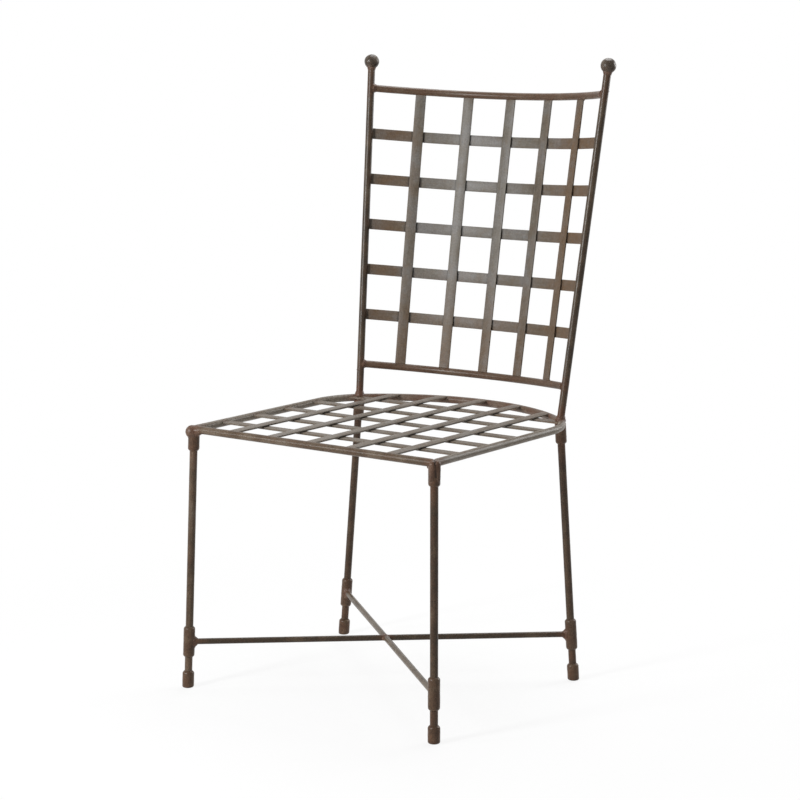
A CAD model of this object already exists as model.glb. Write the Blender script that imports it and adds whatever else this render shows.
"""The looks of a garden side chair of round bar and flat strap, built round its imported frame.

Everything is in metres. +Z is up, the chair faces -Y and the origin is on the floor under its middle.
"""

import logging
import math
from collections.abc import Callable, Sequence
from dataclasses import dataclass
from enum import Enum
from typing import ClassVar

import bpy
import numpy as np
from mathutils import Matrix, Vector, noise

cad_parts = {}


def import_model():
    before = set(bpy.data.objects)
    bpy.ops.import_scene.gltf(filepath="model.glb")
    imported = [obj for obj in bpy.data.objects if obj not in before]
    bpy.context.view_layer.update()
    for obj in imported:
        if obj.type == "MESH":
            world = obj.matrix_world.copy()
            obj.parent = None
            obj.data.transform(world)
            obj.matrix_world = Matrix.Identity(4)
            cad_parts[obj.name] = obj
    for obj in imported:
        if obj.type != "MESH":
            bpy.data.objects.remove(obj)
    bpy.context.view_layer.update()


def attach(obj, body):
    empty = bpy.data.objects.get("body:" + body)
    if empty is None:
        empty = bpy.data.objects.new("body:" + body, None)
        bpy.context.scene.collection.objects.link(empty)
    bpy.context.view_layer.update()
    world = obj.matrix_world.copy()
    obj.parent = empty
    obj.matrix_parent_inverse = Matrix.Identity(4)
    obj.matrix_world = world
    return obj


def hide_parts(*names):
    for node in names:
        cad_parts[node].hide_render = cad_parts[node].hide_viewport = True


LOG = logging.getLogger("garden_side_chair")
SIDES = {"left": -1, "right": 1}
STRAP_NUMBERS = range(1, 6)
MIDDLE_STRAP = 3
WHITE = (1.0, 1.0, 1.0, 1.0)
Paint = tuple[float, float, float, float]
# How far weld metal starts below the surface of the bar that it lies round.
SKIN = 0.0004
Colour = tuple[float, float, float]
Rings = list[tuple[float, float]]
Span = tuple[float, float, float, float]
Socket = bpy.types.NodeSocket
Item = bpy.types.Object


# Sizes and places.

@dataclass(frozen=True)
class Leg:
    """One leg: where its foot stands and where its axis meets the centre line of the seat ring."""

    name: str
    side: int
    foot: Vector
    top: Vector

    @property
    def slope(self) -> float:
        """Length along the leg for each metre of height."""
        return (self.top - self.foot).length / self.top.z

    def at(self, height: float) -> Vector:
        """The point of the leg's axis at a height above the floor."""
        return self.foot.lerp(self.top, height / self.top.z)

    def frame(self, height: float = 0.0) -> Matrix:
        """A frame on the leg's axis at a height, with its Z up the leg."""
        return frame_along(self.at(height), self.top - self.foot)


@dataclass(frozen=True)
class ChairPlan:
    """The chair's sizes, the same as in its CAD part, and the places that follow from them."""

    rod_radius: float = 0.0065
    stretcher_radius: float = 0.005
    strap_width: float = 0.019
    strap_thickness: float = 0.003
    lap_gap: float = 0.00015
    ring_height: float = 0.445
    front_y: float = -0.28005
    half_width: float = 0.247
    side_length: float = 0.334
    corner_radius: float = 0.111
    back_radius: float = 0.319
    front_spread: float = 0.0104
    front_reach: float = 0.015
    rear_spread: float = 0.0353
    rear_reach: float = 0.005
    stretcher_height: float = 0.0795
    sleeve_radius: float = 0.00975
    back_lean: float = 8.15
    post_inset: float = 0.0326
    post_splay: float = 3.22
    post_length: float = 0.604
    bottom_rail_rise: float = 0.061
    top_rail_drop: float = 0.0476
    bottom_rail_bow: float = 0.070
    top_rail_bow: float = 0.088
    row_pitch: float = 0.0811
    upright_pitch_top: float = 0.0844
    upright_pitch_bottom: float = 0.078
    seat_row_start: float = 0.0753
    seat_row_pitch: float = 0.082
    seat_column_pitch: float = 0.081

    @property
    def corner_x(self) -> float:
        """How far the centre of the hoop's corner bend lies to the side."""
        return self.half_width - self.corner_radius

    @property
    def back_centre_y(self) -> float:
        """Where the centre of the hoop's back bend lies behind the front rail."""
        reach = self.back_radius - self.corner_radius
        return self.side_length - math.sqrt(reach ** 2 - self.corner_x ** 2)

    @property
    def post_x(self) -> float:
        """How far a post's foot stands to the side."""
        return self.half_width - self.post_inset

    @property
    def post_y(self) -> float:
        """Where the posts stand on the hoop, as a place in the chair."""
        offset = self.post_x - self.corner_x
        return self.front_y + self.side_length + math.sqrt(self.corner_radius ** 2 - offset ** 2)

    @property
    def top_rail_rise(self) -> float:
        """How far the top rail lies above the posts' feet, along the lean of the back."""
        return self.post_length - self.top_rail_drop

    @property
    def back_frame(self) -> Matrix:
        """The leaning frame of the back, with its origin between the posts' feet."""
        place = Matrix.Translation((0, self.post_y, self.ring_height))
        return place @ Matrix.Rotation(math.radians(-self.back_lean), 4, "X")

    def leg(self, end: str, side_name: str) -> Leg:
        """The leg at the front or rear end, on the named side."""
        side = SIDES[side_name]
        if end == "front":
            x, y, spread, reach = self.half_width, self.front_y, self.front_spread, self.front_reach
        else:
            x, y, spread, reach = self.post_x, self.post_y, self.rear_spread, self.rear_reach
        top = Vector((side * x, y, self.ring_height))
        foot = Vector((side * (x + spread), y - reach, 0))
        return Leg(f"{end}_leg_{side_name}", side, foot, top)

    def legs(self) -> list[Leg]:
        """All four legs."""
        return [self.leg(end, side) for end in ("front", "rear") for side in SIDES]

    def hoop_line(self) -> list[Vector]:
        """The hoop's centre line, from the front right corner round the back to the front left."""
        join = math.atan2(self.side_length - self.back_centre_y, self.corner_x)
        right = [Vector((self.half_width, y)) for y in np.linspace(0, self.side_length, 90)]
        for angle in np.linspace(0, join, 32)[1:]:
            bend = self.corner_radius * Vector((math.cos(angle), math.sin(angle)))
            right.append(Vector((self.corner_x, self.side_length)) + bend)
        for angle in np.linspace(join, math.pi / 2, 60)[1:]:
            bend = self.back_radius * Vector((math.cos(angle), math.sin(angle)))
            right.append(Vector((0, self.back_centre_y)) + bend)
        left = [Vector((-point.x, point.y)) for point in reversed(right[:-1])]
        return [Vector((p.x, self.front_y + p.y, self.ring_height)) for p in right + left]

    def hoop_back_y(self, x: float) -> float:
        """Where the hoop's back bend lies at x, as a place in the chair."""
        return self.front_y + self.back_centre_y + math.sqrt(self.back_radius ** 2 - x ** 2)

    def hoop_side_x(self, y: float) -> float:
        """How far to the side the hoop's centre line lies at a place y."""
        past = y - self.front_y - self.side_length
        if past <= 0:
            return self.half_width
        return self.corner_x + math.sqrt(self.corner_radius ** 2 - past ** 2)

    def seat_column_x(self, number: int) -> float:
        """Where the middle of a front-to-back seat strap lies across the chair."""
        return (number - MIDDLE_STRAP) * self.seat_column_pitch

    def seat_row_y(self, number: int) -> float:
        """Where the middle of a side-to-side seat strap lies, as a place in the chair."""
        return self.front_y + self.seat_row_start + (number - 1) * self.seat_row_pitch

    def half_width_at(self, rise: float) -> float:
        """Half the distance between the posts' centre lines at a rise up the back."""
        return self.post_x + rise * math.tan(math.radians(self.post_splay))

    def bow_at(self, rise: float) -> float:
        """How far the middle of the back lies behind the posts at a rise."""
        share = (rise - self.bottom_rail_rise) / (self.top_rail_rise - self.bottom_rail_rise)
        return self.bottom_rail_bow + (self.top_rail_bow - self.bottom_rail_bow) * share

    def bend_radius(self, rise: float) -> float:
        """Bend radius of a rail or row at a rise."""
        bow = self.bow_at(rise)
        return (self.half_width_at(rise) ** 2 + bow ** 2) / (2 * bow)

    def depth_at(self, rise: float, x: float) -> float:
        """Depth of the back's bent surface behind the posts, at a rise and a place across."""
        radius = self.bend_radius(rise)
        return math.sqrt(radius ** 2 - x ** 2) - radius + self.bow_at(rise)

    def row_rise(self, number: int) -> float:
        """Rise of the middle of a back row, counted from the top."""
        return self.top_rail_rise - number * self.row_pitch

    def row_behind(self) -> float:
        """How far the rows' middle lies behind the uprights' middle."""
        return self.strap_thickness + self.lap_gap

    def bowed_line(self, rise: float, behind: float = 0.0, count: int = 81) -> list[Vector]:
        """A bent line from post to post in the back's frame."""
        half = self.half_width_at(rise)
        radius = self.bend_radius(rise) + behind
        line = []
        for x in np.linspace(-half, half, count):
            depth = math.sqrt(radius ** 2 - x ** 2) - self.bend_radius(rise) + self.bow_at(rise)
            line.append(Vector((x, depth, rise)))
        return line

    def upright_ends(self, number: int) -> tuple[Vector, Vector]:
        """The lower and upper end of an upright's middle line in the back's frame."""
        place = number - MIDDLE_STRAP
        low_x = place * self.upright_pitch_bottom
        high_x = place * self.upright_pitch_top
        low = Vector((low_x, self.depth_at(self.bottom_rail_rise, low_x), self.bottom_rail_rise))
        high = Vector((high_x, self.depth_at(self.top_rail_rise, high_x), self.top_rail_rise))
        return low, high

    def upright_face(self, number: int) -> float:
        """How far an upright is turned about its length, to lie on the bent rows."""
        low, high = self.upright_ends(number)
        radius = (self.bend_radius(self.bottom_rail_rise) + self.bend_radius(self.top_rail_rise)) / 2
        return math.asin((low.x + high.x) / 2 / radius)

    def post_point(self, side: int, rise: float) -> Vector:
        """A point of a post's centre line in the chair, at a rise up the back."""
        return self.back_frame @ Vector((side * self.half_width_at(rise), 0, rise))

    def crossing(self) -> Vector:
        """Where the stretchers cross."""
        front = self.leg("front", "left").at(self.stretcher_height)
        rear = self.leg("rear", "right").at(self.stretcher_height)
        return front.lerp(rear, -front.x / (rear.x - front.x))


PLAN = ChairPlan()


def frame_along(origin: Vector, axis: Vector, towards: Vector | None = None) -> Matrix:
    """A frame with its Z along an axis.

    Args:
        origin: Where the frame sits.
        axis: Direction of its Z.
        towards: Direction that its X leans to. Any, if left out.

    Returns:
        The frame's matrix.
    """
    z = axis.normalized()
    hint = towards or (Vector((1, 0, 0)) if abs(z.x) < 0.9 else Vector((0, 1, 0)))
    y = z.cross(hint).normalized()
    turn = Matrix((y.cross(z), y, z)).transposed().to_4x4()
    return Matrix.Translation(origin) @ turn


def upward(height: float) -> Vector:
    """A step straight up."""
    return Vector((0, 0, height))


def straight(start: Vector, end: Vector, parts: int) -> list[Vector]:
    """A straight line divided into equal parts."""
    return [start.lerp(end, step / parts) for step in range(parts + 1)]


def dash(middle: Sequence[float], step: Sequence[float]) -> list[Vector]:
    """A short line of three points, a step to either side of its middle."""
    return [Vector([place + way * along for place, along in zip(middle, step)]) for way in (-1, 0, 1)]


# Shells: plain arrays of corners and faces, the raw form of turned and welded pieces.

@dataclass
class Shell:
    """Corners as rows of x, y, z, and faces as lists of corner numbers."""

    corners: np.ndarray
    faces: list[list[int]]

    def placed(self, frame: Matrix) -> "Shell":
        """The shell moved into a frame."""
        turn = np.array(frame.to_3x3())
        return Shell(self.corners @ turn.T + np.array(frame.translation), self.faces)


def joined(shells: Sequence[Shell]) -> Shell:
    """Several shells as one."""
    faces = []
    start = 0
    for shell in shells:
        faces += [[index + start for index in face] for face in shell.faces]
        start += len(shell.corners)
    return Shell(np.vstack([shell.corners for shell in shells]), faces)


def turned_shell(profile: Rings, sides: int) -> Shell:
    """A closed shell turned about Z.

    Args:
        profile: Radius and height of each ring, from the bottom up. The ends close on the axis.
        sides: Corners round the axis.

    Returns:
        The shell, its faces pointing outwards.
    """
    angles = np.arange(sides) * 2 * math.pi / sides
    rings = [np.stack([r * np.cos(angles), r * np.sin(angles), np.full(sides, z)], 1) for r, z in profile]
    low, high = [0, 0, profile[0][1]], [0, 0, profile[-1][1]]
    corners = np.vstack(rings + [np.array([low, high])])
    bottom, top = len(corners) - 2, len(corners) - 1
    last = (len(profile) - 1) * sides
    faces = []
    for start in range(0, last, sides):
        for side in range(sides):
            first, second = start + side, start + (side + 1) % sides
            faces.append([first, second, second + sides, first + sides])
    for side in range(sides):
        after = (side + 1) % sides
        faces += [[bottom, after, side], [top, last + side, last + after]]
    return Shell(corners, faces)


def bar_shell(start: Vector, end: Vector, start_radius: float, end_radius: float | None = None) -> Shell:
    """A short round bar or cone between two points."""
    far = start_radius if end_radius is None else end_radius
    profile = [(start_radius, 0), (far, (end - start).length)]
    return turned_shell(profile, 24).placed(frame_along(start, end - start))


def flare_shell(start: Vector, end: Vector, wide: float, narrow: float, flatness: float) -> Shell:
    """A concave flare of weld metal, its height upright.

    Args:
        start: Middle of its wide end.
        end: Middle of its narrow end.
        wide: Half the height of the wide end.
        narrow: Half the height of the narrow end.
        flatness: Its breadth, as a share of its height.

    Returns:
        The flare, closed at both ends.
    """
    length = (end - start).length
    shares = np.linspace(0, 1, 9)
    profile = [(narrow + (wide - narrow) * (1 - share) ** 2.2, length * share) for share in shares]
    frame = frame_along(start, end - start, upward(1)) @ Matrix.Diagonal((1, flatness, 1, 1))
    return turned_shell(profile, 28).placed(frame)


def lump_shell(centre: Vector, radii: tuple[float, float, float]) -> Shell:
    """An ellipsoid of weld metal."""
    steps = np.linspace(-math.pi / 2, math.pi / 2, 13)[1:-1]
    shell = turned_shell([(math.cos(step), math.sin(step)) for step in steps], 20)
    return shell.placed(Matrix.Translation(centre) @ Matrix.Diagonal((*radii, 1)))


@dataclass(frozen=True)
class Cone:
    """A cone of weld metal: where it starts and ends along an axis, and its radius at either end."""

    start: float
    end: float
    start_radius: float
    end_radius: float

    def along(self, origin: Vector, axis: Vector) -> Shell:
        """The cone on an axis."""
        start, end = origin + axis * self.start, origin + axis * self.end
        return bar_shell(start, end, self.start_radius, self.end_radius)


def new_object(name: str, data: bpy.types.ID) -> Item:
    """An object at the origin for a mesh, a lamp or a camera."""
    item = bpy.data.objects.new(name, data)
    bpy.context.scene.collection.objects.link(item)
    return item


def shell_object(name: str, shell: Shell) -> Item:
    """An object at the origin that shows a shell, shaded smooth."""
    mesh = bpy.data.meshes.new(name)
    mesh.from_pydata(shell.corners.tolist(), [], shell.faces)
    mesh.shade_smooth()
    mesh.update()
    return new_object(name, mesh)


def corners_of(item: Item, field: str = "co") -> np.ndarray:
    """The corners of an object's mesh, or another field of them, as rows of x, y, z."""
    flat = np.empty(len(item.data.vertices) * 3)
    item.data.vertices.foreach_get(field, flat)
    return flat.reshape(-1, 3)


def set_corners(item: Item, corners: np.ndarray) -> None:
    """Move the corners of an object's mesh."""
    item.data.vertices.foreach_set("co", corners.ravel())
    item.data.update()


def settle(item: Item) -> None:
    """Turn an object with modifiers into a plain mesh."""
    graph = bpy.context.evaluated_depsgraph_get()
    shown = item.evaluated_get(graph)
    mesh = bpy.data.meshes.new_from_object(shown, preserve_all_data_layers=True, depsgraph=graph)
    item.modifiers.clear()
    item.data = mesh
    mesh.name = item.name


def directions(vectors: np.ndarray) -> np.ndarray:
    """Rows of vectors, each made one long."""
    return vectors / np.maximum(np.linalg.norm(vectors, axis=1), 1e-9)[:, None]


def distance_to(points: np.ndarray, start: Vector, end: Vector) -> np.ndarray:
    """How far each point lies from a straight stretch."""
    first, run = np.array(start), np.array(end - start)
    share = np.clip((points - first) @ run / (run @ run), 0, 1)
    return np.linalg.norm(points - first - np.outer(share, run), axis=1)


def slide_ends(
    item: Item, origin: Vector, axis: Vector, reach: float, depth: Callable[[np.ndarray], np.ndarray]
) -> None:
    """Shape the end of a bar or strap by sliding its corners along its length.

    Args:
        item: The piece.
        origin: The middle of its end.
        axis: The direction in which it ends.
        reach: How far back from the end the corners move.
        depth: How far beyond the origin the end lies, from each corner's offset.
    """
    corners = corners_of(item)
    offset = corners - np.array(origin)
    share = np.clip(1 + offset @ np.array(axis) / reach, 0, 1)
    near = np.linalg.norm(offset, axis=1) < reach * 1.2
    corners[near] += np.outer(depth(offset[near]) * share[near], np.array(axis))
    set_corners(item, corners)


# Node trees.

class NodeSheet:
    """A node tree under construction."""

    def __init__(self, tree: bpy.types.NodeTree) -> None:
        self.tree = tree

    @classmethod
    def of(cls, owner: bpy.types.Material | bpy.types.World) -> "NodeSheet":
        """The emptied tree of a material or a world."""
        owner.use_nodes = True
        owner.node_tree.nodes.clear()
        return cls(owner.node_tree)

    def add(self, kind: str, wires: dict | None = None, **settings) -> bpy.types.Node:
        """Add a node.

        Args:
            kind: The node's type name.
            wires: Values or sockets for the node's inputs, by name or number.
            settings: The node's own properties.

        Returns:
            The new node.
        """
        node = self.tree.nodes.new(kind)
        for name, value in settings.items():
            setattr(node, name, value)
        for key, value in (wires or {}).items():
            socket = node.inputs[key] if isinstance(key, int) else self.open_socket(node, key)
            if isinstance(value, Socket):
                self.tree.links.new(value, socket)
            else:
                socket.default_value = value
        return node

    @staticmethod
    def open_socket(node: bpy.types.Node, name: str) -> Socket:
        """The input of that name that is in use, as some nodes have one for each kind of data."""
        return next(socket for socket in node.inputs if socket.name == name and socket.enabled)

    def maths(self, operation: str, *values) -> Socket:
        """A Math node's result."""
        return self.add("ShaderNodeMath", dict(enumerate(values)), operation=operation).outputs[0]

    def scaled(self, vector: Socket, factor) -> Socket:
        """A vector times a number."""
        return self.add("ShaderNodeVectorMath", {0: vector, "Scale": factor}, operation="SCALE").outputs[0]

    def ranged(
        self, value: Socket, low: float, high: float, to_low: float, to_high: float, **settings
    ) -> Socket:
        """A value carried over from one range to another, and kept within it."""
        wires = {"Value": value, "From Min": low, "From Max": high, "To Min": to_low, "To Max": to_high}
        return self.add("ShaderNodeMapRange", wires, **settings).outputs[0]

    def mixed(self, share: Socket, first: Socket, second: Colour) -> Socket:
        """A second colour mixed into the first."""
        wires = {"Factor": share, "A": first, "B": (*second, 1.0)}
        node = self.add("ShaderNodeMix", wires, data_type="RGBA")
        return next(socket for socket in node.outputs if socket.enabled)

    def noise(self, vector: Socket, spacing: float, detail: float, rough: float) -> Socket:
        """Noise with a spacing in metres."""
        wires = {"Vector": vector, "Scale": 1 / spacing, "Detail": detail, "Roughness": rough}
        return self.add("ShaderNodeTexNoise", wires).outputs[0]

    def attribute(self, name: str, output: str = "Fac") -> Socket:
        """A value kept on the piece's points."""
        return self.add("ShaderNodeAttribute", attribute_name=name).outputs[output]

    def object_place(self) -> Socket:
        """A point's object coordinates."""
        return self.add("ShaderNodeTexCoord").outputs["Object"]

    def end(self, kind: str, surface: Socket) -> None:
        """End the tree with an output node."""
        self.add(kind, {"Surface": surface})


class GrowthTree(NodeSheet):
    """A Geometry Nodes tree that grows a piece from a path or points, with named inputs for its sizes."""

    INPUTS = {
        float: "NodeSocketFloat",
        int: "NodeSocketInt",
        Vector: "NodeSocketVector",
        bpy.types.Material: "NodeSocketMaterial",
    }

    def __init__(self, name: str, sizes: dict[str, type]) -> None:
        super().__init__(bpy.data.node_groups.new(name, "GeometryNodeTree"))
        interface = self.tree.interface
        interface.new_socket("Geometry", in_out="INPUT", socket_type="NodeSocketGeometry")
        interface.new_socket("Geometry", in_out="OUTPUT", socket_type="NodeSocketGeometry")
        for label, kind in {**sizes, "Seed": int, "Finish": bpy.types.Material}.items():
            interface.new_socket(label, in_out="INPUT", socket_type=self.INPUTS[kind])
        self.given = self.tree.nodes.new("NodeGroupInput").outputs
        self.build()

    def build(self) -> None:
        """Add the tree's own nodes."""
        raise NotImplementedError

    def divided(self, spacing: Socket, **settings) -> Socket:
        """The given path as a curve with evenly spaced points."""
        path = self.add("GeometryNodeMeshToCurve", {"Mesh": self.given["Geometry"]}).outputs[0]
        wires = {"Curve": path, "Length": spacing}
        return self.add("GeometryNodeResampleCurve", wires, mode="LENGTH", **settings).outputs[0]

    def measured_path(self) -> Socket:
        """The given path, each point with its distance along it."""
        path = self.divided(self.given["Step"], keep_last_segment=True)
        along = self.add("GeometryNodeSplineParameter").outputs["Length"]
        return self.named(path, "along", along, "FLOAT")

    def swept(self, path: Socket, section: Socket) -> Socket:
        """A solid with one section all along a path, each point with its place in the section."""
        place = self.add("GeometryNodeInputPosition").outputs[0]
        section = self.named(section, "section", place, "FLOAT_VECTOR")
        wires = {"Curve": path, "Profile Curve": section, "Fill Caps": True}
        return self.add("GeometryNodeCurveToMesh", wires).outputs[0]

    def drops(self, points: Socket, **wires: Socket) -> Socket:
        """A drop on each point, sized by chance."""
        given = self.given
        ball = {"Radius": given["Radius"], "Subdivisions": 2}
        drop = self.add("GeometryNodeMeshIcoSphere", ball).outputs[0]
        limits = {"Min": given["Smallest"], "Max": 1.0, "Seed": given["Seed"]}
        size = self.add("FunctionNodeRandomValue", limits, data_type="FLOAT").outputs[1]
        wires = {"Points": points, "Instance": drop, "Scale": size, **wires}
        return self.add("GeometryNodeInstanceOnPoints", wires).outputs[0]

    def uneven(self, geometry: Socket, depth: Socket | float, spacing: float) -> Socket:
        """Push a surface in and out a little along its normals.

        Args:
            geometry: The mesh to push.
            depth: How far a point moves at most.
            spacing: Distance between one swelling and the next.

        Returns:
            The uneven mesh.
        """
        place = self.add("GeometryNodeInputPosition").outputs[0]
        fine = self.maths("DIVIDE", 1.0, spacing)
        wires = {"Vector": place, "W": self.given["Seed"], "Scale": fine, "Detail": 2.0}
        swell = self.add("ShaderNodeTexNoise", wires, noise_dimensions="4D").outputs[0]
        span = self.maths("MULTIPLY", depth, 2.0)
        amount = self.maths("MULTIPLY", self.maths("SUBTRACT", swell, 0.5), span)
        offset = self.scaled(self.add("GeometryNodeInputNormal").outputs[0], amount)
        return self.add("GeometryNodeSetPosition", {"Geometry": geometry, "Offset": offset}).outputs[0]

    def named(self, geometry: Socket, name: str, value: Socket, kind: str) -> Socket:
        """Keep a value on the points under a name, for the material."""
        wires = {"Geometry": geometry, "Name": name, "Value": value}
        return self.add("GeometryNodeStoreNamedAttribute", wires, data_type=kind, domain="POINT").outputs[0]

    def finish(self, geometry: Socket) -> None:
        """End the tree with smooth, real geometry in its material."""
        smooth = self.add("GeometryNodeSetShadeSmooth", {"Geometry": geometry}).outputs[0]
        real = self.add("GeometryNodeRealizeInstances", {"Geometry": smooth}).outputs[0]
        wires = {"Geometry": real, "Material": self.given["Finish"]}
        dressed = self.add("GeometryNodeSetMaterial", wires).outputs[0]
        self.tree.links.new(dressed, self.tree.nodes.new("NodeGroupOutput").inputs[0])

    def grow(
        self, name: str, lines: Sequence[Sequence[Vector]], finish: bpy.types.Material, seed: int, **sizes
    ) -> Item:
        """Grow a piece and turn it into a plain mesh.

        Args:
            name: The piece's name.
            lines: Paths, each a list of points joined by edges, or single points.
            finish: Its material.
            seed: Fixes what is random in it.
            sizes: The tree's inputs, with underscores for spaces.

        Returns:
            The piece, an object at the origin with a plain mesh.
        """
        mesh = bpy.data.meshes.new(name)
        points = [tuple(point) for line in lines for point in line]
        edges = []
        start = 0
        for line in lines:
            edges += [(start + step, start + step + 1) for step in range(len(line) - 1)]
            start += len(line)
        mesh.from_pydata(points, edges, [])
        item = new_object(name, mesh)
        modifier = item.modifiers.new("growth", "NODES")
        modifier.node_group = self.tree
        values = {label.replace("_", " "): value for label, value in sizes.items()}
        values.update({"Seed": seed, "Finish": finish})
        for socket in self.tree.interface.items_tree:
            if socket.in_out == "INPUT" and socket.name in values:
                modifier[socket.identifier] = values[socket.name]
        settle(item)
        return item


class BarTree(GrowthTree):
    """Round bar along a path, slightly uneven as hot-rolled bar is."""

    def __init__(self) -> None:
        super().__init__("round_bar", {"Radius": float, "Step": float, "Unevenness": float, "Sides": int})

    def build(self) -> None:
        """Sweep a circle along the path and make its surface uneven."""
        path = self.measured_path()
        circle = {"Resolution": self.given["Sides"], "Radius": self.given["Radius"]}
        section = self.add("GeometryNodeCurvePrimitiveCircle", circle).outputs[0]
        self.finish(self.uneven(self.swept(path, section), self.given["Unevenness"], 0.021))


class StrapTree(GrowthTree):
    """Flat strap along a path, with rounded edges and slightly wavy faces."""

    def __init__(self) -> None:
        sizes = dict.fromkeys(("Width", "Thickness", "Edge Round", "Step", "Waviness"), float)
        super().__init__("flat_strap", {**sizes, "Across": Vector})

    def build(self) -> None:
        """Sweep a rounded rectangle along the path with its width held in one direction."""
        given = self.given
        wires = {"Curve": self.measured_path(), "Normal": given["Across"]}
        path = self.add("GeometryNodeSetCurveNormal", wires, mode="FREE").outputs[0]
        wires = {"Width": given["Width"], "Height": given["Thickness"]}
        section = self.add("GeometryNodeCurvePrimitiveQuadrilateral", wires).outputs[0]
        wires = {"Curve": section, "Count": 3, "Radius": given["Edge Round"], "Limit Radius": True}
        section = self.add("GeometryNodeFilletCurve", wires, mode="POLY").outputs[0]
        section = self.add("GeometryNodeSubdivideCurve", {"Curve": section, "Cuts": 1}).outputs[0]
        self.finish(self.uneven(self.swept(path, section), given["Waviness"], 0.03))


class BeadTree(GrowthTree):
    """A weld bead along a path: a row of overlapping ripples of slightly different size."""

    def __init__(self) -> None:
        super().__init__("weld_bead", {"Radius": float, "Spacing": float, "Smallest": float})

    def build(self) -> None:
        """Set drops along the path, turned and shrunk by chance."""
        points = self.divided(self.given["Spacing"])
        turn = {"Min": (0.0, 0.0, 0.0), "Max": (3.0, 3.0, 3.0), "Seed": self.given["Seed"]}
        angle = self.add("FunctionNodeRandomValue", turn, data_type="FLOAT_VECTOR").outputs[0]
        rotation = self.add("FunctionNodeEulerToRotation", {0: angle}).outputs[0]
        beads = self.drops(points, Rotation=rotation)
        real = self.add("GeometryNodeRealizeInstances", {"Geometry": beads}).outputs[0]
        self.finish(self.uneven(real, 0.00025, 0.0012))


class SpatterTree(GrowthTree):
    """Drops of weld spatter on given points."""

    def __init__(self) -> None:
        super().__init__("weld_spatter", {"Radius": float, "Smallest": float})

    def build(self) -> None:
        """Set a drop on each point, sized by chance."""
        self.finish(self.drops(self.given["Geometry"]))


# Finishes.

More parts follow.
